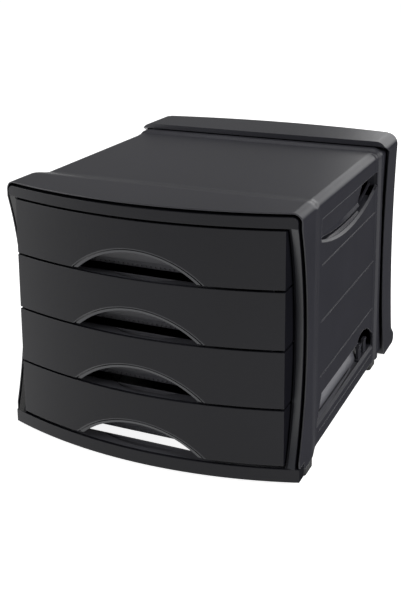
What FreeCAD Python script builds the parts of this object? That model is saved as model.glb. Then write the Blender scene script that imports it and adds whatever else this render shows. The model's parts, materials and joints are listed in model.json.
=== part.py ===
import FreeCAD, Part
import math
import os

# Desktop drawer cabinet with four full-width drawers, all lengths in millimetres.
# While it is built, X runs across, Y runs back from the ends of the drawer fronts,
# and Z runs up from the floor. The last step centres the box on the floor.

V = FreeCAD.Vector

# Sizes that set the cabinet: a tray's width and length, and the height of a level
drawer_count = 4
pitch = 53.5                # height of one drawer level
tray_half = 121.5           # half width of a tray
tray_length = 314.0
tray_front_y = 4.0
tray_rear_y = tray_front_y + tray_length
level_base = 17.5           # gap line under the lowest drawer
front_gap = 1.1             # half of the gap between two drawer fronts
top_line = level_base + drawer_count * pitch

# Widths outside the tray
runner_room = 19.5          # from the tray's wall to the face of the side panel
collar_proud = 4.0          # how far the front collar stands out from the side panel
frame_side_proud = 4.5      # the same for the rear frame
front_overlap = 10.5        # how far a drawer front reaches past its tray
post_gap = 1.0
panel_half = tray_half + runner_room
front_half = panel_half + collar_proud
rear_half = panel_half + frame_side_proud
drawer_half = tray_half + front_overlap
post_inner = drawer_half + post_gap

# Heights
top_bar_height = 14.5
shell_top = top_line + top_bar_height
panel_top = shell_top - collar_proud
frame_top_proud = 4.0       # how far the rear frame stands above the front collar
rear_top = shell_top + frame_top_proud
shell_bottom = 8.0          # lower edge of the side panels, and height of the feet
wall = 2.4                  # thickness of the shell
seat_gap = 0.3              # clearance of parts that are pushed into each other

# Rear ends
rear_room = 15.0            # from the tray's rear wall to the cabinet's rear corners
rear_bow = 15.0
shell_setback = 8.0
rear_corner_y = tray_rear_y + rear_room
rear_centre_y = rear_corner_y + rear_bow
shell_end = tray_rear_y - shell_setback

# Bowed front, one arc seen from above for drawers, top bar and bottom rail
bow = 21.0
bow_radius = (drawer_half ** 2 + bow ** 2) / (2 * bow)
bow_centre = bow_radius - bow

# Front bezel
rail_low = 3.2
rail_high = level_base - 2 * front_gap
rail_end_y = 18.0           # rear end of the bottom rail at the cabinet's corners
rail_skin = 3.2
bezel_gap = 1.3             # open groove between bezel and collar
bezel_depth = 36.0          # rear edge of the posts
bezel_seat = 28.0           # the bezel fills the collar from here back
top_bar_low = top_line + front_gap
top_bar_depth = 9.0

# Hollow in the side view of the front posts and the shell's front edge
hollow_low_gap = 0.1
hollow_high_gap = 8.0
hollow_low = rail_high + hollow_low_gap
hollow_high = shell_top - hollow_high_gap
hollow_end_y = 2.0
hollow_depth = 19.5
hollow_half = (hollow_high - hollow_low) / 2
hollow_radius = (hollow_half ** 2 + hollow_depth ** 2) / (2 * hollow_depth)
hollow_mid = (hollow_high + hollow_low) / 2
hollow_centre = hollow_end_y + hollow_depth - hollow_radius

# Shell, which narrows and sinks from the front collar to the panel
shell_radius = 9.0
collar_overlap = 2.0        # how far the collar runs on behind the posts
blend_length = 28.0
collar_end = bezel_depth + collar_overlap
blend_end = collar_end + blend_length
blend_sections = 7
lip_setback = 1.3           # how far the shell's edge stands behind the bezel's face
lip_thick = 1.2             # wall of the collar in front of the bezel's seat
bottom_flange = 12.0        # width of the inward flange along the lower edges

# Two raised mouldings near the shell's rear end, each with a sloped front
step_setback = 54.0         # from the shell's end forward to the low moulding on the sides
step_proud = 1.0
step_slope = 2.5
step_flat = 3.0
ridge_gap = 4.5
ridge_proud = 2.4
ridge_slope = 4.5
ridge_flat = 6.5
step_y = shell_end - step_setback
step_end_y = step_y + step_slope + step_flat
ridge_y = step_end_y + ridge_gap
ridge_end_y = ridge_y + ridge_slope + ridge_flat

# Raised lines on the side panels
rib_height = 1.0
rib_proud = 0.5
rib_rise = 1.6
rib_end_gap = 6.0
rib_front = blend_end + rib_end_gap

# Cross rails between the levels, with a crescent scoop for the fingertips
cross_top = -4.0            # measured from the level's gap line
cross_thick = 6.0
cross_gap = 1.0
cross_rear_y = 1.0
cross_side_gap = 3.5
cross_arm_width = 14.0
cross_arm_half = tray_half - cross_side_gap
cross_arm_inner = cross_arm_half - cross_arm_width
cross_tab_y = 27.0
cross_tab_rear = 34.0
scoop_half = 32.0
base_scoop_half = 48.0
scoop_width = 11.0
scoop_depth = 3.0
scoop_lip = 1.2             # the scoop ends this far before the rail's rear edge

# Trays and runners
tray_rise = 2.0             # tray underside above the gap line
tray_wall = 2.0
tray_headroom = 13.0
tray_height = pitch - tray_headroom
tray_corner = 5.0
tray_notch_half = 40.0
tray_notch = 14.0
flange_width = 8.5
flange_edge = tray_half + flange_width
flange_thick = 2.5
flange_front_y = 27.0
runner_side_gap = 3.0
runner_inner = tray_half + runner_side_gap
runner_thick = 2.5
runner_gap = 0.6
runner_front_y = 27.0
runner_setback = 2.0
runner_rear_y = shell_end - runner_setback
floor_rib_count = 5
floor_rib_gap = 40.0
floor_rib_width = 1.6
floor_rib_height = 0.8
tray_held = 64.0            # length of a tray that stays in the cabinet when it is pulled out
travel = tray_length - tray_held
lug_proud = 2.8             # lugs on the tray stop against teeth on the runners
lug_edge = tray_half + lug_proud
lug_low = 7.0
lug_height = 4.0
lug_length = 6.0
lug_setback = 12.0
lug_front_y = tray_rear_y - lug_setback
tooth_gap = 1.1
tooth_inner = tray_half + tooth_gap
tooth_overlap = 1.0
tooth_outer = flange_edge + tooth_overlap
stop_clearance = 2.0

# Drawer fronts
skin = 3.2
cheek_thick = 2.6
cheek_rear_y = 26.0
boss_inset = 1.5
boss_width = 24.0
boss_outer = tray_half - boss_inset
boss_inner = boss_outer - boss_width
boss_low = 4.0
boss_headroom = 12.0
boss_high = pitch - boss_headroom
arch_outer_half = 65.5
arch_outer_rise = 26.0
arch_inner_half = 57.5
arch_inner_rise = 21.5
arch_step = 3.0             # the grip's band stands this far behind the front
arch_lip = 5.0              # depth of the band, front to back
comb_count = 23
comb_gap = 4.6
comb_width = 1.4
comb_proud = 0.6
comb_low = 0.8
comb_high = 2.2
brow_proud = 1.0            # the upper part of a tray's front wall is thicker
brow_low = 5.2
brow_gap = 5.0
brow_half = boss_inner - brow_gap

# Hand grips in the side panels: a bevelled rim, a ledge, a slit, and a leaf with a rolled edge
grip_front_gap = 4.0
grip_rear_gap = 2.5
grip_front_y = blend_end + grip_front_gap
grip_rear_y = ridge_y - grip_rear_gap
grip_drop = 23.4
grip_height = 31.6
grip_top = shell_top - grip_drop
grip_bottom = grip_top - grip_height
grip_bevel = 2.6
grip_arc_run = 103.5        # from the arc's lowest point back to the grip's rear end
grip_arc_rise = 17.4
grip_arc_y = grip_rear_y - grip_arc_run
grip_arc_radius = (grip_arc_run ** 2 + grip_arc_rise ** 2) / (2 * grip_arc_rise)
grip_wall = 2.2
grip_depth = 8.5
grip_inner = panel_half - grip_depth - grip_wall
grip_hole_length = 62.0
grip_hole_y = grip_rear_y - grip_hole_length
ledge_step = 0.5            # the ledge starts this far below the panel's edge
ledge_run = 3.2
leaf_gap = 5.0              # width of the slit between the ledge and the leaf
leaf_lift = 8.2             # height of the leaf's lower edge over the rim, at the lowest point
leaf_front_lift = 2.2       # the same at the grip's front end
leaf_shallow = 0.4
leaf_deep = 4.0
leaf_roll_share = 0.25      # height of the rolled edge, as a share of the leaf
leaf_curl_share = 0.3       # how far the edge stands inside the panel, as a share of the depth
leaf_edge = 0.6             # narrow flat strip between the leaf's hollow and its top edge
leaf_sections = 9
leaf_bottom = grip_bottom + leaf_lift
leaf_arc_run = grip_arc_y - grip_front_y
rim_front_rise = grip_arc_radius - math.sqrt(grip_arc_radius ** 2 - leaf_arc_run ** 2)
leaf_arc_rise = rim_front_rise + leaf_front_lift - leaf_lift
leaf_arc_radius = (leaf_arc_run ** 2 + leaf_arc_rise ** 2) / (2 * leaf_arc_rise)

# Long slots low in the side panels
slot_rear_gap = 2.0
slot_front_y = blend_end
slot_rear_y = ridge_y - slot_rear_gap
slot_slant = 13.0
slot_low = 27.5
slot_height = 26.0
slot_high = slot_low + slot_height
slot_bevel = 3.0
slot_ear_setback = 51.0     # from the slot's rear end forward to the middle of its ear
slot_ear_radius = 13.0
slot_ear_drop = 6.5
slot_end_height = 9.5       # height of the slot's rear end
slot_dome_run = 30.0        # the ear slopes down to the rear in an arc through this point
slot_dome_height = 27.0
slot_ear_y = slot_rear_y - slot_ear_setback
slot_ear_z = slot_high - slot_ear_drop
liner_thick = 2.0
liner_reach = 7.5
liner_inner = panel_half - liner_reach
liner_lean = 9.6
liner_overlap = 6.5
liner_top = slot_high + liner_overlap
liner_wall = 1.6
liner_wall_run = 17.0
liner_wall_rear = slot_ear_y + liner_wall_run
liner_slit = 1.2
liner_tip_gap = 31.0        # the ledge ends in a point this far before the leaning wall does
liner_tip_y = liner_wall_rear - liner_tip_gap
liner_taper_run = 80.0
liner_taper_y = liner_tip_y - liner_taper_run
liner_bend_share = 0.6
liner_bend_x = 1.6
liner_bridge = 6.0
clip_length = 9.0
clip_height = 15.0
clip_thick = 3.0
clip_hook = 3.5
clip_spacing = 19.0
clip_gap = 8.0
clip_reach = 4.5
clip_y = slot_ear_y + clip_gap
clip_x = panel_half - wall - clip_reach

# Rear frame and back panel
frame_radius = 12.0
frame_seat = 10.0           # length of the shell's end inside the frame
frame_edge_gap = 15.0       # from the shell's end forward to the frame's front corners
frame_edge_y = shell_end - frame_edge_gap
frame_hollow = 13.0         # hollow in the side view of the frame's front edge
frame_lip_reach = 28.5
frame_lip_y = shell_end - frame_lip_reach
frame_heel_run = 8.0
frame_side_skin = 1.2       # the frame's walls around the open groove in front of its seat
frame_top_skin = 5.4
frame_groove_half = rear_half - frame_side_skin
frame_groove_top = rear_top - frame_top_skin
frame_groove_radius = 9.5
frame_groove_y = shell_end - frame_seat
frame_low = 2.0
frame_sill_high = 10.0
frame_post_width = 10.0     # the rear posts flank the back panel
frame_post_inner = panel_half - frame_post_width
rear_hollow = 13.0
rear_hollow_gap = 2.0
rear_hollow_inner = frame_post_inner + rear_hollow_gap
heel_proud = 10.0
heel_length = 25.0
heel_width = 13.0
rear_foot_y = rear_corner_y + heel_proud
rear_foot_front = rear_foot_y - heel_length
rear_foot_inner = frame_post_inner - heel_width
rear_foot_high = 12.0
rear_foot_slope = 22.0
rear_foot_bevel = 4.0
back_inset = 4.0
back_thick = 2.5
back_window_inset = 39.0
back_window_half = frame_post_inner - back_window_inset
back_window_high = 12.0
back_window_rise = 25.0

# Feet
foot_width = 11.0
foot_inset = 0.4
foot_front_gap = 3.0
foot_rear_gap = 8.0
foot_front_y = rail_end_y + foot_front_gap
foot_rear_y = slot_rear_y - foot_rear_gap
foot_length = 24.0
foot_corner = 4.0

# Lengths only used to make cutters reach past the material
margin = 5.0
far = 500.0


def box(x0, y0, z0, x1, y1, z1):
    """Block between two opposite corners."""
    return Part.makeBox(x1 - x0, y1 - y0, z1 - z0, V(x0, y0, z0))


def line(start, end):
    return Part.LineSegment(start, end).toShape()


def arc(start, middle, end):
    return Part.Arc(start, middle, end).toShape()


def prism(points, direction):
    """Straight block over a closed polygon."""
    wire = Part.makePolygon(points + points[:1])
    return Part.Face(wire).extrude(direction)


def mirrored(shape):
    return shape.mirror(V(0, 0, 0), V(1, 0, 0))


def both_sides(shape):
    return [shape, mirrored(shape)]


def join(shapes):
    whole = shapes[0].fuse(shapes[1:])
    return whole.removeSplitter()


def edge_y(radius, x):
    """Where the bowed front of this radius lies at a distance from the middle."""
    return bow_centre - math.sqrt(radius ** 2 - x ** 2)


def bowed(radius, low, high):
    """Everything behind a bowed front between two heights."""
    return Part.makeCylinder(radius, high - low, V(0, bow_centre, low))


def hollow_cutter(inner, outer, setback, low, high):
    """Cuts the concave front of the posts on the right, as seen from the side."""
    start = V(inner, hollow_centre, hollow_mid)
    drum = Part.makeCylinder(hollow_radius + setback, outer - inner, start, V(1, 0, 0))
    return drum.common(box(inner, -far, low, outer, far, high))


def hood_wire(half, top, radius, bottom, y):
    """Upside-down U across the cabinet at one depth, closed along the bottom."""
    bend = radius * (1 - math.sqrt(0.5))
    low_left = V(-half, y, bottom)
    high_left = V(-half, y, top - radius)
    top_left = V(radius - half, y, top)
    top_right = V(half - radius, y, top)
    high_right = V(half, y, top - radius)
    low_right = V(half, y, bottom)
    return Part.Wire([
        line(low_left, high_left),
        arc(high_left, V(bend - half, y, top - bend), top_left),
        line(top_left, top_right),
        arc(top_right, V(half - bend, y, top - bend), high_right),
        line(high_right, low_right),
        line(low_right, low_left),
    ])


def hood(half, top, radius, bottom, front, rear):
    """Solid with the upside-down U outline between two depths."""
    face = Part.Face(hood_wire(half, top, radius, bottom, front))
    return face.extrude(V(0, rear - front, 0))


def blend_hood(inset, bottom):
    """Collar, blend and panel as one solid, drawn in by an inset on all sides."""
    sections = []
    for step in range(blend_sections):
        along_share = step / (blend_sections - 1)
        smooth_share = (1 - math.cos(math.pi * along_share)) / 2
        half = front_half + (panel_half - front_half) * smooth_share
        top = shell_top + (panel_top - shell_top) * smooth_share
        y = collar_end + (blend_end - collar_end) * along_share
        sections.append(hood_wire(half - inset, top - inset, shell_radius - inset, bottom, y))
    blend = Part.makeLoft(sections, True, False)
    collar = hood(front_half - inset, shell_top - inset, shell_radius - inset, bottom,
                  -bow - margin, collar_end)
    panel = hood(panel_half - inset, panel_top - inset, shell_radius - inset, bottom,
                 blend_end, shell_end + inset)
    return [collar, blend, panel]


def moulding(side_proud, top_proud, front, slope, flat):
    """Solid whose outside is a raised band around the panel."""
    half = panel_half + side_proud
    top = panel_top + top_proud
    radius = shell_radius + top_proud
    start = hood_wire(panel_half, panel_top, shell_radius, shell_bottom, front)
    end = hood_wire(half, top, radius, shell_bottom, front + slope)
    ramp = Part.makeLoft([start, end], True, True)
    return [ramp, hood(half, top, radius, shell_bottom, front + slope, front + slope + flat)]


def grip_arc_z(radius, bottom, y):
    """Height of one of the hand grip's arcs at one depth."""
    run = y - grip_arc_y
    return bottom + radius - math.sqrt(radius ** 2 - run ** 2)


def grip_wire(x, radius, bottom, growth):
    """Outline over one of the hand grip's arcs, in a plane along the side panel."""
    front = grip_front_y - growth
    rear = grip_rear_y + growth
    low_front = V(x, front, grip_arc_z(radius, bottom, front))
    low_rear = V(x, rear, grip_arc_z(radius, bottom, rear))
    top_rear = V(x, rear, grip_top + growth)
    top_front = V(x, front, grip_top + growth)
    return Part.Wire([
        arc(low_front, V(x, grip_arc_y, bottom), low_rear),
        line(low_rear, top_rear),
        line(top_rear, top_front),
        line(top_front, low_front),
    ])


def grip_block(radius, bottom, growth, inner, outer):
    face = Part.Face(grip_wire(inner, radius, bottom, growth))
    return face.extrude(V(outer - inner, 0, 0))


def grip_opening():
    """Cuts the hand grip and its bevelled lower rim out of the side panel."""
    skin_x = panel_half - wall
    straight = grip_block(grip_arc_radius, grip_bottom, 0, skin_x - margin, panel_half + margin)
    inner_edge = grip_wire(skin_x, grip_arc_radius, grip_bottom, 0)
    outer_edge = grip_wire(panel_half, grip_arc_radius, grip_bottom - grip_bevel, 0)
    return straight.fuse(Part.makeLoft([inner_edge, outer_edge], True, True))


def leaf_dish():
    """Space in front of the leaf, which sinks in below the top edge and rolls out again."""
    sections = []
    for step in range(leaf_sections):
        along_share = step / (leaf_sections - 1)
        y = grip_front_y - margin + (grip_hole_y - grip_front_y + 2 * margin) * along_share
        depth = leaf_shallow + (leaf_deep - leaf_shallow) * math.sin(along_share * math.pi / 2)
        edge_z = grip_arc_z(leaf_arc_radius, leaf_bottom - leaf_gap / 2, y)
        top_z = grip_top - leaf_edge
        deep_z = edge_z + (top_z - edge_z) * leaf_roll_share
        top = V(panel_half, y, top_z)
        deep = V(panel_half - depth, y, deep_z)
        edge = V(panel_half - depth * leaf_curl_share, y, edge_z)
        outer_low = V(panel_half + margin, y, edge_z)
        outer_top = V(panel_half + margin, y, top_z)
        sections.append(Part.Wire([
            line(top, deep),
            line(deep, edge),
            line(edge, outer_low),
            line(outer_low, outer_top),
            line(outer_top, top),
        ]))
    return Part.makeLoft(sections, True, False)


def slot_opening(inner, outer):
    """Long low opening that rises to a rounded ear and slopes down to its rear end."""
    low_front = V(inner, slot_front_y, slot_low)
    low_rear = V(inner, slot_rear_y, slot_low)
    high_rear = V(inner, slot_rear_y, slot_low + slot_end_height)
    dome = V(inner, slot_ear_y + slot_dome_run, slot_low + slot_dome_height)
    ear_top = V(inner, slot_ear_y, slot_ear_z + slot_ear_radius)
    ear_low = V(inner, slot_ear_y, slot_high)
    high_front = V(inner, slot_front_y + slot_slant, slot_high)
    outline = Part.Wire([
        line(low_front, low_rear),
        line(low_rear, high_rear),
        arc(high_rear, dome, ear_top),
        line(ear_top, ear_low),
        line(ear_low, high_front),
        line(high_front, low_front),
    ])
    opening = Part.Face(outline).extrude(V(outer - inner, 0, 0))
    ear = Part.makeCylinder(slot_ear_radius, outer - inner, V(inner, slot_ear_y, slot_ear_z),
                            V(1, 0, 0))
    return opening.fuse(ear)


def slot_bevel_cutter():
    """Slope from the slot's lower edge out to the panel's face."""
    points = [
        V(panel_half - wall, slot_front_y, slot_low),
        V(panel_half, slot_front_y, slot_low - slot_bevel),
        V(panel_half + margin, slot_front_y, slot_low - slot_bevel),
        V(panel_half + margin, slot_front_y, slot_low),
    ]
    return prism(points, V(0, slot_rear_y - slot_front_y, 0))


def make_shell():
    step = moulding(step_proud, 0, step_y, step_slope, step_flat)
    ridge = moulding(ridge_proud, ridge_proud, ridge_y, ridge_slope, ridge_flat)
    outer = join(blend_hood(0, shell_bottom) + step + ridge)
    inner = join(blend_hood(wall, shell_bottom - margin))
    shell = outer.cut(inner)
    inner_x = panel_half - wall
    flange = box(inner_x - bottom_flange, cross_tab_rear, shell_bottom,
                 inner_x, shell_end, shell_bottom + wall)
    web = box(inner_x - wall, cross_tab_rear, shell_bottom, front_half + margin,
              blend_end + margin, shell_bottom + wall)
    web = web.common(outer)
    ribs = []
    for level in range(drawer_count):
        z = level_base + level * pitch + rib_rise
        ribs.append(box(panel_half - rib_proud, rib_front, z - rib_height / 2,
                        panel_half + rib_proud, step_y, z + rib_height / 2))
    added = both_sides(flange) + both_sides(web)
    for rib in ribs:
        added += both_sides(rib)
    shell = shell.fuse(added)
    lip = bowed(bow_radius - lip_setback, shell_bottom - margin, shell_top + margin)
    front_block = box(-front_half - margin, -bow - 2 * margin, shell_bottom - margin,
                      front_half + margin, collar_end, shell_top + margin)
    thin_edge = hood(front_half - lip_thick, shell_top - lip_thick, shell_radius - lip_thick,
                     shell_bottom - margin, -bow - margin, bezel_seat)
    shell = shell.cut([front_block.cut(lip), thin_edge])
    hollow = hollow_cutter(drawer_half, front_half + margin, lip_setback,
                           shell_bottom - margin, shell_top + margin)
    shell = shell.cut(both_sides(hollow))
    rail_space = box(-front_half - margin, -bow - margin, 0, front_half + margin,
                     rail_end_y + seat_gap, rail_high + seat_gap)
    shell = shell.cut(rail_space)
    cutters = both_sides(grip_opening())
    cutters += both_sides(slot_opening(panel_half - wall - margin, panel_half + margin))
    cutters += both_sides(slot_bevel_cutter())
    return shell.cut(cutters)


def make_bezel():
    """Top bar, two hollow-sided posts and the bottom rail in one piece."""
    inset = wall + bezel_gap
    seat = wall + seat_gap
    slim = hood(front_half - inset, shell_top - inset, shell_radius - inset, rail_low,
                -bow - margin, bezel_depth)
    thick = hood(front_half - seat, shell_top - seat, shell_radius - seat,
                 shell_bottom + wall + seat_gap, bezel_seat, bezel_depth)
    body = slim.fuse(thick)
    opening = box(-post_inner, -bow - margin, rail_high, post_inner, bezel_depth + margin,
                  top_bar_low)
    behind_bar = box(-post_inner, bezel_depth - bezel_seat, rail_low - margin, post_inner,
                     bezel_depth + margin, shell_top)
    body = body.cut([opening, behind_bar])
    bar_space = bowed(bow_radius - top_bar_depth, rail_high, shell_top)
    bar_space = bar_space.common(box(-post_inner, -bow, rail_high, post_inner,
                                     bezel_depth + margin, shell_top))
    rail_space = bowed(bow_radius - rail_skin, rail_low - margin, rail_high + margin)
    rail_space = rail_space.common(box(-post_inner, -bow, rail_low - margin, post_inner,
                                       bezel_depth + margin, rail_high + margin))
    body = body.cut([bar_space, rail_space])
    low_posts = box(-front_half, rail_end_y, rail_low - margin, front_half,
                    bezel_depth + margin, shell_bottom + wall + seat_gap)
    body = body.cut(low_posts)
    body = body.common(bowed(bow_radius, rail_low, shell_top))
    hollow = hollow_cutter(drawer_half, front_half + margin, 0, rail_high, top_bar_low)
    body = body.cut(both_sides(hollow))
    ends = []
    for side in (-1, 1):
        inner = side * post_inner
        outer = side * front_half
        end = box(min(inner, outer), -bow, rail_low, max(inner, outer), rail_end_y, rail_high)
        ends.append(end.common(bowed(bow_radius, rail_low, rail_high)))
    return join([body] + ends)


def make_cross_rail(level_z, low_z, half, front_clearance, scoop_run):
    """Rail behind the drawer fronts, with a scoop and with tabs that carry the runners."""
    top = level_z + cross_top
    radius = bow_radius - skin - front_clearance
    slab = bowed(radius, low_z, top).common(box(-half, -bow, low_z, half, cross_rear_y, top))
    arms = []
    arm = box(cross_arm_inner, edge_y(radius, cross_arm_inner) + skin, low_z,
              half, cross_tab_rear, top).common(bowed(radius, low_z, top))
    tab = box(cross_arm_inner, cross_tab_y, low_z, post_inner, cross_tab_rear, top)
    seat = box(runner_inner, cross_tab_y, top, post_inner, cross_tab_rear,
               level_z + tray_rise - runner_thick)
    for piece in (arm, tab, seat):
        arms += both_sides(piece)
    rail = join([slab] + arms)
    scoop_radius = (scoop_run ** 2 + scoop_width ** 2) / (2 * scoop_width)
    drum = Part.makeCylinder(scoop_radius, scoop_depth + margin,
                             V(0, cross_rear_y + scoop_radius - scoop_width, top - scoop_depth))
    before_lip = box(-scoop_run, -bow, low_z, scoop_run, cross_rear_y - scoop_lip, top + margin)
    return rail.cut(drum.common(before_lip))


def make_runner(level_z):
    """Channel on the right side panel that holds one flange of a tray."""
    low = level_z + tray_rise - runner_thick
    ledge_z = level_z + tray_rise
    roof_z = ledge_z + flange_thick + runner_gap
    outer = panel_half - wall
    web_x = flange_edge + 2 * seat_gap
    ledge = box(runner_inner, runner_front_y, low, outer, runner_rear_y, ledge_z)
    web = box(web_x, runner_front_y, low, outer, runner_rear_y, roof_z + runner_thick)
    roof = box(runner_inner + seat_gap, runner_front_y, roof_z, outer, runner_rear_y,
               roof_z + runner_thick)
    tooth_rear = lug_front_y - travel - stop_clearance
    tooth = box(tooth_inner, tooth_rear - lug_length, roof_z, tooth_outer, tooth_rear,
                ledge_z + lug_low + lug_height)
    runner = join([ledge, web, roof, tooth])
    collar_room = box(post_inner - seat_gap, runner_front_y - margin, low - margin,
                      front_half, bezel_depth + seat_gap, roof_z + 2 * margin)
    return runner.cut(collar_room)


def make_tray(level_z):
    low = level_z + tray_rise
    high = low + tray_height
    body = box(-tray_half, tray_front_y, low, tray_half, tray_rear_y, high)
    corners = [edge for edge in body.Edges if edge.BoundBox.ZLength > tray_height / 2]
    rear_corners = [edge for edge in corners if edge.BoundBox.YMin > tray_front_y + margin]
    body = body.makeFillet(tray_corner, rear_corners)
    room = box(tray_wall - tray_half, tray_front_y + tray_wall, low + tray_wall,
               tray_half - tray_wall, tray_rear_y - tray_wall, high + margin)
    uprights = [edge for edge in room.Edges if edge.BoundBox.ZLength > tray_height / 2]
    room = room.makeFillet(tray_corner - tray_wall, uprights)
    tray = body.cut(room)
    notch = box(-tray_notch_half, tray_rear_y - margin, high - tray_notch,
                tray_notch_half, tray_rear_y + margin, high + margin)
    tray = tray.cut(notch)
    flange = box(tray_half - tray_wall, flange_front_y, low, flange_edge, tray_rear_y,
                 low + flange_thick)
    lug = box(tray_half - tray_wall, lug_front_y, low + lug_low, lug_edge,
              lug_front_y + lug_length, low + lug_low + lug_height)
    added = both_sides(flange) + both_sides(lug)
    for index in range(floor_rib_count):
        x = (index - (floor_rib_count - 1) / 2) * floor_rib_gap
        added.append(box(x - floor_rib_width / 2, tray_front_y + 2 * tray_corner, low + tray_wall,
                         x + floor_rib_width / 2, tray_rear_y - 2 * tray_corner,
                         low + tray_wall + floor_rib_height))
    for index in range(comb_count):
        x = (index - (comb_count - 1) / 2) * comb_gap
        added.append(box(x - comb_width / 2, tray_front_y - comb_proud, low + comb_low,
                         x + comb_width / 2, tray_front_y + tray_wall / 2, low + comb_high))
    added.append(box(-brow_half, tray_front_y - brow_proud, low + brow_low,
                     brow_half, tray_front_y + tray_wall / 2, high))
    return join([tray] + added)


def arch_prism(half, rise, low, front, rear):
    """Arched block standing on the lower edge of a drawer front."""
    radius = (half ** 2 + rise ** 2) / (2 * rise)
    drum = Part.makeCylinder(radius, rear - front, V(0, front, low + rise - radius), V(0, 1, 0))
    return drum.common(box(-half - margin, front, low - margin, half + margin, rear, low + radius))


def make_front(level_z):
    low = level_z + front_gap
    high = level_z + pitch - front_gap
    plate = bowed(bow_radius, low, high).cut(bowed(bow_radius - skin, low - margin, high + margin))
    plate = plate.common(box(-drawer_half, -bow - margin, low, drawer_half, cheek_rear_y, high))
    cheek = box(drawer_half - cheek_thick, -bow, low, drawer_half, cheek_rear_y, high)
    cheek = cheek.common(bowed(bow_radius, low, high))
    boss = box(boss_inner, -bow, level_z + boss_low, boss_outer, tray_front_y,
               level_z + boss_high)
    boss = boss.common(bowed(bow_radius - skin / 2, low, high))
    front = join([plate] + both_sides(cheek) + both_sides(boss))
    reach = -bow - margin
    front = front.cut(arch_prism(arch_outer_half, arch_outer_rise, low, reach, cheek_rear_y))
    band = bowed(bow_radius - arch_step, low, high).cut(
        bowed(bow_radius - arch_step - arch_lip, low - margin, high + margin))
    band = band.common(arch_prism(arch_outer_half + skin, arch_outer_rise + skin, low,
                                  reach, cheek_rear_y))
    band = band.common(box(-drawer_half, reach, low, drawer_half, cheek_rear_y, high))
    band = band.cut(arch_prism(arch_inner_half, arch_inner_rise, low, reach, cheek_rear_y))
    return join([front, band])


def make_grip():
    """Liner behind the right side panel's hand grip: ledge, slit, leaf and hole."""
    skin_x = panel_half - wall
    slit_bottom = leaf_bottom - leaf_gap
    back = grip_block(grip_arc_radius, grip_bottom - grip_wall, grip_wall, grip_inner, skin_x)
    plug = grip_block(leaf_arc_radius, leaf_bottom, 0, skin_x, panel_half)
    over_ledge = grip_block(leaf_arc_radius, slit_bottom, 0, panel_half - grip_depth,
                            panel_half + margin)
    over_slit = grip_block(leaf_arc_radius, leaf_bottom, 0, grip_inner, panel_half + 2 * margin)
    slit = over_ledge.cut(over_slit)
    outer_edge = grip_wire(skin_x, grip_arc_radius, grip_bottom - ledge_step, 0)
    inner_edge = grip_wire(skin_x - ledge_run, leaf_arc_radius, slit_bottom + leaf_gap / 2, 0)
    slope = Part.makeLoft([outer_edge, inner_edge], True, True)
    slope = slope.cut(grip_block(leaf_arc_radius, leaf_bottom, margin, grip_inner, panel_half))
    hole = grip_block(grip_arc_radius, grip_bottom, 0, grip_inner - margin, panel_half + margin)
    hole = hole.common(box(grip_inner - margin, grip_hole_y, shell_bottom,
                           panel_half + margin, grip_rear_y, shell_top))
    return back.fuse(plug).cut([leaf_dish(), slit, slope, hole]).removeSplitter()


def make_liner():
    """Pointed ledge and leaning inner wall behind the right side panel's slot."""
    outer = panel_half - wall
    low = slot_low - liner_thick
    bend_y = liner_taper_y + (liner_tip_y - liner_taper_y) * liner_bend_share
    ledge = prism([
        V(outer, slot_front_y, low),
        V(liner_inner, slot_front_y, low),
        V(liner_inner, liner_tip_y, low),
        V(liner_inner + liner_slit, liner_tip_y, low),
        V(outer - liner_bend_x, bend_y, low),
        V(outer, liner_taper_y, low),
    ], V(0, 0, liner_thick))
    slit = box(liner_inner, slot_front_y + liner_bridge, low - margin, liner_inner + liner_slit,
               slot_rear_y, slot_low + margin)
    lean_wall = prism([
        V(liner_inner, slot_front_y, low),
        V(liner_inner - liner_wall, slot_front_y, low),
        V(liner_inner - liner_wall - liner_lean, slot_front_y, liner_top),
        V(liner_inner - liner_lean, slot_front_y, liner_top),
    ], V(0, liner_wall_rear - slot_front_y, 0))
    front_end = box(liner_inner - liner_wall - liner_lean, slot_front_y - liner_wall, low,
                    outer, slot_front_y, liner_top)
    return join([ledge.cut(slit), lean_wall, front_end])


def make_clip():
    """Two spring hooks on a plate behind the rear ear of the right slot."""
    outer = panel_half - wall
    low = slot_low - liner_thick
    pieces = [box(clip_x, clip_y - clip_thick, low, outer, slot_rear_y, slot_low)]
    for index in range(2):
        y = clip_y + index * clip_spacing
        top = slot_low + clip_height
        pieces.append(box(clip_x, y, low, clip_x + clip_thick, y + clip_length, top))
        pieces.append(box(clip_x, y, top - clip_thick, clip_x + clip_hook, y + clip_length, top))
    return join(pieces)


def rear_drum(inset):
    """Everything in front of the bowed back, moved forward by an inset."""
    radius = (rear_half ** 2 + rear_bow ** 2) / (2 * rear_bow)
    return Part.makeCylinder(radius - inset, rear_top + margin, V(0, rear_centre_y - radius, 0))


def rear_side_cutters():
    """Cuts the rear posts in at mid height, as seen from the side."""
    half = (rear_top - rear_foot_high) / 2
    radius = (half ** 2 + rear_hollow ** 2) / (2 * rear_hollow)
    centre = V(rear_hollow_inner, rear_corner_y - rear_hollow + radius, rear_foot_high + half)
    return both_sides(Part.makeCylinder(radius, front_half, centre, V(1, 0, 0)))


def make_rear_foot():
    """Heel of the right rear post."""
    points = [
        V(rear_foot_inner, rear_foot_front, frame_low),
        V(rear_foot_inner, rear_foot_y - rear_foot_bevel, frame_low),
        V(rear_foot_inner, rear_foot_y, frame_low + rear_foot_bevel),
        V(rear_foot_inner, rear_foot_y, rear_foot_high),
        V(rear_foot_inner, rear_foot_front, rear_foot_high + rear_foot_slope),
    ]
    return prism(points, V(rear_half - rear_foot_inner, 0, 0))


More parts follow.
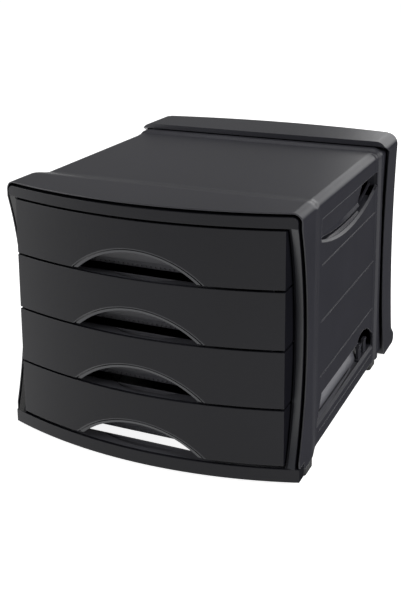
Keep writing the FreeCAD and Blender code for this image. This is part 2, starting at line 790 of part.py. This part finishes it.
def frame_front_cutter():
    """Everything in front of the rear frame's edge, as seen from the side."""
    low = V(-far, frame_edge_y, hollow_low)
    middle = V(-far, frame_edge_y - frame_hollow, hollow_mid)
    high = V(-far, frame_edge_y, hollow_high)
    lip_low = V(-far, frame_lip_y, frame_groove_top)
    lip_high = V(-far, frame_lip_y, rear_top + margin)
    front_high = V(-far, step_y, rear_top + margin)
    front_low = V(-far, step_y, frame_low - margin)
    heel = V(-far, frame_edge_y + frame_heel_run, frame_low - margin)
    outline = Part.Wire([
        arc(low, middle, high),
        line(high, lip_low),
        line(lip_low, lip_high),
        line(lip_high, front_high),
        line(front_high, front_low),
        line(front_low, heel),
        line(heel, low),
    ])
    return Part.Face(outline).extrude(V(2 * far, 0, 0))


def make_rear_frame():
    band = hood(rear_half, rear_top, frame_radius, frame_low, ridge_y, rear_centre_y + margin)
    groove = hood(frame_groove_half, frame_groove_top, frame_groove_radius, frame_low - margin,
                  ridge_y - margin, frame_groove_y)
    pocket = hood(panel_half + seat_gap, panel_top + seat_gap, shell_radius + seat_gap,
                  shell_bottom, frame_groove_y - margin, shell_end + seat_gap)
    inside = box(-frame_post_inner, ridge_y, frame_sill_high, frame_post_inner,
                 rear_centre_y + margin, panel_top - wall)
    frame = band.cut([frame_front_cutter(), groove, pocket])
    frame = frame.common(rear_drum(0)).cut(rear_side_cutters())
    return join([frame] + both_sides(make_rear_foot())).cut(inside)


def make_back_panel():
    """Bowed sheet between the rear posts, with a low cable window."""
    sheet = rear_drum(back_inset).cut(rear_drum(back_inset + back_thick))
    sheet = sheet.common(box(-frame_post_inner, shell_end, frame_sill_high, frame_post_inner,
                             rear_centre_y, panel_top - wall))
    window_low = frame_sill_high + back_window_rise
    window = box(-back_window_half, shell_end, window_low, back_window_half, rear_centre_y,
                 window_low + back_window_high)
    return sheet.cut(window)


def make_foot(outer, front):
    block = box(outer - foot_width, front, 0, outer, front + foot_length, shell_bottom)
    uprights = [edge for edge in block.Edges if edge.BoundBox.ZLength > shell_bottom / 2]
    return block.makeFillet(foot_corner, uprights)


def save(name, shape):
    """Centres a finished piece on the floor and writes it."""
    front_most = -bow
    shift = -(front_most + rear_centre_y) / 2
    placed = shape.copy()
    placed.translate(V(0, shift, 0))
    placed.exportStep("parts/" + name + ".step")
    print(name, len(placed.Solids), round(placed.Volume), placed.isValid())


os.makedirs("parts", exist_ok=True)

save("cabinet_shell", make_shell())
save("front_bezel", make_bezel())
save("rear_frame", make_rear_frame())
save("back_panel", make_back_panel())
base_low = rail_low + front_gap
base_rail = make_cross_rail(level_base, base_low, post_inner, seat_gap, base_scoop_half)
save("base_rail", base_rail)

for level in range(drawer_count):
    number = str(drawer_count - level)
    z = level_base + level * pitch
    if level > 0:
        low = z + cross_top - cross_thick
        rail = make_cross_rail(z, low, cross_arm_half, cross_gap, scoop_half)
        save("cross_rail_" + number, rail)
    runner = make_runner(z)
    save("runner_right_" + number, runner)
    save("runner_left_" + number, mirrored(runner))
    save("drawer_tray_" + number, make_tray(z))
    save("drawer_front_" + number, make_front(z))

grip = make_grip()
save("hand_grip_right", grip)
save("hand_grip_left", mirrored(grip))
liner = make_liner()
save("slot_liner_right", liner)
save("slot_liner_left", mirrored(liner))
clip = make_clip()
save("side_clip_right", clip)
save("side_clip_left", mirrored(clip))

front_foot = make_foot(front_half - foot_inset, foot_front_y)
rear_foot = make_foot(panel_half - foot_inset, foot_rear_y)
save("foot_front_right", front_foot)
save("foot_front_left", mirrored(front_foot))
save("foot_rear_right", rear_foot)
save("foot_rear_left", mirrored(rear_foot))
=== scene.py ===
import json
import math

import bpy
from mathutils import Matrix, Vector


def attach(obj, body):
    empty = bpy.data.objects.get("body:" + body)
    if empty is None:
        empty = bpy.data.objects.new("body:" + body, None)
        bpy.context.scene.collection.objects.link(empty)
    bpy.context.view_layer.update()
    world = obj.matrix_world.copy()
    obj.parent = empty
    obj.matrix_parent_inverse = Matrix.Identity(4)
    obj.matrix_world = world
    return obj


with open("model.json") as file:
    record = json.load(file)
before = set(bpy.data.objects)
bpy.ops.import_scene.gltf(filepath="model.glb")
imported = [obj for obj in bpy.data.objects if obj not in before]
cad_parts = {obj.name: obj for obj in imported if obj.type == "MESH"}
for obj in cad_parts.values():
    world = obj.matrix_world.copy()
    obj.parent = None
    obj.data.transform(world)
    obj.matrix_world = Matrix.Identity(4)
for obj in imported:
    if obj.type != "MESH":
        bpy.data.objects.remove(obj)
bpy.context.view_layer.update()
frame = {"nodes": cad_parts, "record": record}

# Camera, fitted to points of the photograph
image_height = 601
camera_place = (0.39641, -0.92362, 0.47872)
camera_azimuth = 24.147
camera_elevation = 12.595
camera_roll = -0.438
focal_pixels = 1020.0
centre_row = 150.0
sensor = 36.0
clip_near = 0.01
clip_far = 100.0

# Light: places and sizes in metres, power in watts
white = (1.0, 1.0, 1.0)
world_level = 0.20
left_place = (-2.2, -1.6, 0.9)
left_size = (1.6, 1.6)
left_power = 45.0
top_place = (0.0, -0.2, 2.6)
top_size = (2.2, 2.2)
top_power = 25.0
right_place = (2.2, -0.3, 1.3)
right_size = (1.6, 1.6)
right_power = 60.0
rear_place = (0.38, 2.37, 0.84)
rear_size = (1.8, 1.0)
rear_power = 7.0
aim = (0.0, 0.0, 0.12)

# Floor
floor_half = 12.0
floor_colour = (0.60, 0.60, 0.60)
floor_roughness = 0.9
floor_specular = 0.0
floor_glow = 0.88

# Trims around the finger arches, in metres: heights count from the lower edge of a drawer front,
# depths from its face
drawer_count = 4
pitch = 0.0535
front_base = 0.0186
front_ends_y = -0.1635
front_half = 0.132
front_bow = 0.021
trim_outer_half = 0.0654
trim_outer_rise = 0.0259
trim_inner_half = 0.0575
trim_inner_rise = 0.0215
trim_back = 0.0034
trim_steps = 72
trim_profile = (            # share of the way inward, and depth behind the drawer's face
    (0.00, 0.0002),
    (0.17, 0.0002),
    (0.18, 0.0030),
    (0.40, 0.0030),
    (0.41, 0.0007),
    (0.92, 0.0014),
    (1.00, 0.0031),
)

# Faces of the two front posts, in metres
post_inner = 0.1352
post_outer = 0.1411
post_low = 0.0160
post_high = 0.2320
post_middle = 0.1267
post_radius = 0.3274
post_deepest = -0.1420
post_proud = 0.0003
post_thick = 0.0008
post_steps = 48

# What all plastics share: noise scales per metre, lengths in metres
edge_round = 0.0007
trim_edge_round = 0.00015
bevel_samples = 6
grain_scale = 2600.0
grain_detail = 2.0
grain_height = 0.0001
cloud_scale = 9.0
cloud_detail = 5.0
cloud_roughness = 0.6
cloud_dark_end = 0.3
cloud_light_end = 0.7
gloss_swing = 0.12
# Painted shade on faces that look to the left or right begins and is full at these values of the
# normal's left-right part squared
side_start = 0.66
side_end = 0.90

# The plastics; the last specular value is for faces that look to the left or right, a painted shade
# that turns their reflection nearly off so the sides stay dark
looks = {
    "casing_gloss": {
        "colour": (0.022, 0.022, 0.027), "roughness": 0.30, "specular": 0.35,
        "side_painted_shade_specular": 0.0005, "grain": 0.3, "spread": 0.12, "rounding": edge_round},
    "front_gloss": {
        "colour": (0.006, 0.006, 0.008), "roughness": 0.26, "specular": 0.18,
        "side_painted_shade_specular": 0.0005, "grain": 0.3, "spread": 0.12, "rounding": edge_round},
    "tray_plastic": {
        "colour": (0.050, 0.050, 0.058), "roughness": 0.34, "specular": 0.50,
        "side_painted_shade_specular": 0.50, "grain": 0.3, "spread": 0.12, "rounding": edge_round},
    # Painted light: this colour is lifted well above the casing's so that the inner rails, in the
    # cabinet's shade, show painted light and reflection
    "inner_plastic": {
        "colour": (0.070, 0.070, 0.080), "roughness": 0.42, "specular": 0.50,
        "side_painted_shade_specular": 0.50, "grain": 0.4, "spread": 0.12, "rounding": edge_round},
    "foot_rubber": {
        "colour": (0.014, 0.014, 0.014), "roughness": 0.75, "specular": 0.25,
        "side_painted_shade_specular": 0.25, "grain": 0.8, "spread": 0.2, "rounding": edge_round},
    "trim_gloss": {
        "colour": (0.016, 0.017, 0.021), "roughness": 0.24, "specular": 0.50,
        "side_painted_shade_specular": 0.50, "grain": 0.2, "spread": 0.10, "rounding": trim_edge_round},
}


def socket(node, name, value):
    node.inputs[name].default_value = value


def link(tree, source, output, target, name):
    tree.links.new(source.outputs[output], target.inputs[name])


def maths(tree, operation):
    node = tree.nodes.new("ShaderNodeMath")
    node.operation = operation
    return node


def colour4(colour):
    return (colour[0], colour[1], colour[2], 1.0)


def plastic(name, colour, roughness, specular, side_painted_shade_specular, grain, spread, rounding):
    """Moulded plastic with fine grain, faint cloudy colour and gloss, and rounded edges.

    Faces that look to the left or right reflect only as much as their side specular value says:
    painted shade that keeps the sides dark.
    """
    material = bpy.data.materials.new(name)
    material.use_nodes = True
    tree = material.node_tree
    shader = tree.nodes["Principled BSDF"]
    place = tree.nodes.new("ShaderNodeTexCoord")

    cloud = tree.nodes.new("ShaderNodeTexNoise")
    socket(cloud, "Scale", cloud_scale)
    socket(cloud, "Detail", cloud_detail)
    socket(cloud, "Roughness", cloud_roughness)
    link(tree, place, "Object", cloud, "Vector")
    tint = tree.nodes.new("ShaderNodeValToRGB")
    dark, light = tint.color_ramp.elements
    dark.position = cloud_dark_end
    dark.color = colour4([part * (1 - spread) for part in colour])
    light.position = cloud_light_end
    light.color = colour4([part * (1 + spread) for part in colour])
    link(tree, cloud, "Fac", tint, "Fac")
    link(tree, tint, "Color", shader, "Base Color")

    gloss = tree.nodes.new("ShaderNodeMapRange")
    socket(gloss, "To Min", roughness * (1 - gloss_swing))
    socket(gloss, "To Max", roughness * (1 + gloss_swing))
    link(tree, cloud, "Fac", gloss, "Value")
    link(tree, gloss, "Result", shader, "Roughness")

    fine = tree.nodes.new("ShaderNodeTexNoise")
    socket(fine, "Scale", grain_scale)
    socket(fine, "Detail", grain_detail)
    link(tree, place, "Object", fine, "Vector")
    edge = tree.nodes.new("ShaderNodeBevel")
    edge.samples = bevel_samples
    socket(edge, "Radius", rounding)
    bump = tree.nodes.new("ShaderNodeBump")
    socket(bump, "Strength", grain)
    socket(bump, "Distance", grain_height)
    link(tree, fine, "Fac", bump, "Height")
    link(tree, edge, "Normal", bump, "Normal")
    link(tree, bump, "Normal", shader, "Normal")

    # Painted shade: the more a face looks to the left or right, the nearer its reflection goes to
    # the side specular value
    split = tree.nodes.new("ShaderNodeSeparateXYZ")
    link(tree, edge, "Normal", split, "Vector")
    square = maths(tree, "MULTIPLY")
    link(tree, split, "X", square, 0)
    link(tree, split, "X", square, 1)
    painted_side_shade = tree.nodes.new("ShaderNodeMapRange")
    painted_side_shade.interpolation_type = "SMOOTHSTEP"
    socket(painted_side_shade, "From Min", side_start)
    socket(painted_side_shade, "From Max", side_end)
    socket(painted_side_shade, "To Min", specular)
    socket(painted_side_shade, "To Max", side_painted_shade_specular)
    link(tree, square, "Value", painted_side_shade, "Value")
    link(tree, painted_side_shade, "Result", shader, "Specular IOR Level")
    return material


def paint_nodes(finishes):
    slots = {part["node"]: part["material_slot"] for part in frame["record"]["subparts"]}
    for name, node in frame["nodes"].items():
        node.data.materials.clear()
        node.data.materials.append(finishes[slots[name]])


def faces_along(steps, count):
    """Faces of a closed strip with the same outline of count corners at every step."""
    faces = []
    for step in range(steps):
        here = step * count
        there = here + count
        for index in range(count):
            after = (index + 1) % count
            faces.append((here + index, there + index, there + after, here + after))
    faces.append(tuple(range(count)))
    faces.append(tuple(reversed(range(steps * count, (steps + 1) * count))))
    return faces


def add_strip(name, body, corners, faces, material):
    mesh = bpy.data.meshes.new(name)
    mesh.from_pydata(corners, [], faces)
    mesh.validate()
    mesh.update()
    mesh.materials.append(material)
    strip = bpy.data.objects.new(name, mesh)
    bpy.context.collection.objects.link(strip)
    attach(strip, body)


def arch_point(half, rise, share):
    """Point of a finger arch, across and up, for shares from -1 at the left to 1 at the right."""
    radius = (half ** 2 + rise ** 2) / (2 * rise)
    angle = math.asin(half / radius) * share
    return radius * math.sin(angle), rise - radius + radius * math.cos(angle)


def make_arch_trim(number, material):
    """Moulded strip with a fine groove, from a drawer's face in to the edge of its finger grip."""
    radius = (front_half ** 2 + front_bow ** 2) / (2 * front_bow)
    centre = front_ends_y + radius - front_bow
    low = front_base + (drawer_count - number) * pitch
    profile = ((0.0, trim_back),) + trim_profile + ((1.0, trim_back),)
    corners = []
    for step in range(trim_steps + 1):
        share = 2 * step / trim_steps - 1
        outer_x, outer_z = arch_point(trim_outer_half, trim_outer_rise, share)
        inner_x, inner_z = arch_point(trim_inner_half, trim_inner_rise, share)
        for inward, depth in profile:
            x = outer_x + (inner_x - outer_x) * inward
            z = outer_z + (inner_z - outer_z) * inward
            y = centre - math.sqrt(radius ** 2 - x ** 2) + depth
            corners.append((x, y, low + z))
    faces = faces_along(trim_steps, len(profile))
    add_strip("arch_trim_" + str(number), "drawer_" + str(number), corners, faces, material)


def make_post_face(name, side, material):
    """Smooth face on a front post, which follows the hollow seen from the side."""
    inner = side * post_inner
    outer = side * post_outer
    corners = []
    for step in range(post_steps + 1):
        z = post_low + (post_high - post_low) * step / post_steps
        drop = post_radius - math.sqrt(post_radius ** 2 - (z - post_middle) ** 2)
        front = post_deepest - drop - post_proud
        back = front + post_thick
        section = ((inner, front, z), (outer, front, z), (outer, back, z), (inner, back, z))
        corners.extend(section)
    add_strip(name, "cabinet", corners, faces_along(post_steps, len(section)), material)


def make_floor():
    """Floor with a glow that camera, glossy and transmission rays see, for a white background."""
    mesh = bpy.data.meshes.new("floor")
    corners = []
    for x, y in ((-1, -1), (1, -1), (1, 1), (-1, 1)):
        corners.append((x * floor_half, y * floor_half, 0.0))
    mesh.from_pydata(corners, [], [(0, 1, 2, 3)])
    floor = bpy.data.objects.new("floor", mesh)
    bpy.context.collection.objects.link(floor)
    material = bpy.data.materials.new("floor")
    material.use_nodes = True
    tree = material.node_tree
    shader = tree.nodes["Principled BSDF"]
    socket(shader, "Base Color", colour4(floor_colour))
    socket(shader, "Roughness", floor_roughness)
    socket(shader, "Specular IOR Level", floor_specular)
    socket(shader, "Emission Color", colour4(white))
    rays = tree.nodes.new("ShaderNodeLightPath")
    camera_or_glossy = maths(tree, "MAXIMUM")
    link(tree, rays, "Is Camera Ray", camera_or_glossy, 0)
    link(tree, rays, "Is Glossy Ray", camera_or_glossy, 1)
    seen = maths(tree, "MAXIMUM")
    link(tree, camera_or_glossy, "Value", seen, 0)
    link(tree, rays, "Is Transmission Ray", seen, 1)
    glow = maths(tree, "MULTIPLY")
    link(tree, seen, "Value", glow, 0)
    socket(glow, 1, floor_glow)
    link(tree, glow, "Value", shader, "Emission Strength")
    mesh.materials.append(material)


def area_lamp(name, place, size, power):
    lamp = bpy.data.lights.new(name, "AREA")
    lamp.shape = "RECTANGLE"
    lamp.size, lamp.size_y = size
    lamp.energy = power
    holder = bpy.data.objects.new(name, lamp)
    holder.location = place
    direction = Vector(aim) - Vector(place)
    holder.rotation_euler = direction.to_track_quat("-Z", "Y").to_euler()
    holder.visible_camera = False
    bpy.context.collection.objects.link(holder)


def light_scene():
    world = bpy.data.worlds.new("studio")
    world.use_nodes = True
    background = world.node_tree.nodes["Background"]
    socket(background, "Color", colour4(white))
    socket(background, "Strength", world_level)
    bpy.context.scene.world = world
    area_lamp("left", left_place, left_size, left_power)
    area_lamp("top", top_place, top_size, top_power)
    area_lamp("right", right_place, right_size, right_power)
    area_lamp("rear", rear_place, rear_size, rear_power)


def place_camera():
    azimuth = math.radians(camera_azimuth)
    elevation = math.radians(camera_elevation)
    roll = math.radians(camera_roll)
    forward = Vector((-math.sin(azimuth) * math.cos(elevation),
                      math.cos(azimuth) * math.cos(elevation), -math.sin(elevation)))
    level_right = forward.cross(Vector((0, 0, 1))).normalized()
    level_up = level_right.cross(forward)
    right = level_right * math.cos(roll) + level_up * math.sin(roll)
    up = level_up * math.cos(roll) - level_right * math.sin(roll)
    camera = bpy.data.cameras.new("camera")
    camera.sensor_width = sensor
    camera.lens = focal_pixels * sensor / image_height
    camera.shift_y = (centre_row - image_height / 2) / image_height
    camera.clip_start = clip_near
    camera.clip_end = clip_far
    holder = bpy.data.objects.new("camera", camera)
    turn = Matrix((right, up, -forward)).transposed().to_4x4()
    holder.matrix_world = Matrix.Translation(camera_place) @ turn
    bpy.context.collection.objects.link(holder)
    bpy.context.scene.camera = holder


finishes = {name: plastic(name, **look) for name, look in looks.items()}
paint_nodes(finishes)
for number in range(1, drawer_count + 1):
    make_arch_trim(number, finishes["trim_gloss"])
# The photo's left post is dark, so its face takes the plain front plastic that comes with the frame
make_post_face("post_face_left", -1, bpy.data.materials["front_gloss"])
# Painted light: the right post's face takes the lighter, glossier trim plastic so that it looks lit
make_post_face("post_face_right_painted_light", 1, finishes["trim_gloss"])
make_floor()
light_scene()
place_camera()
bpy.context.scene.view_settings.view_transform = "Standard"
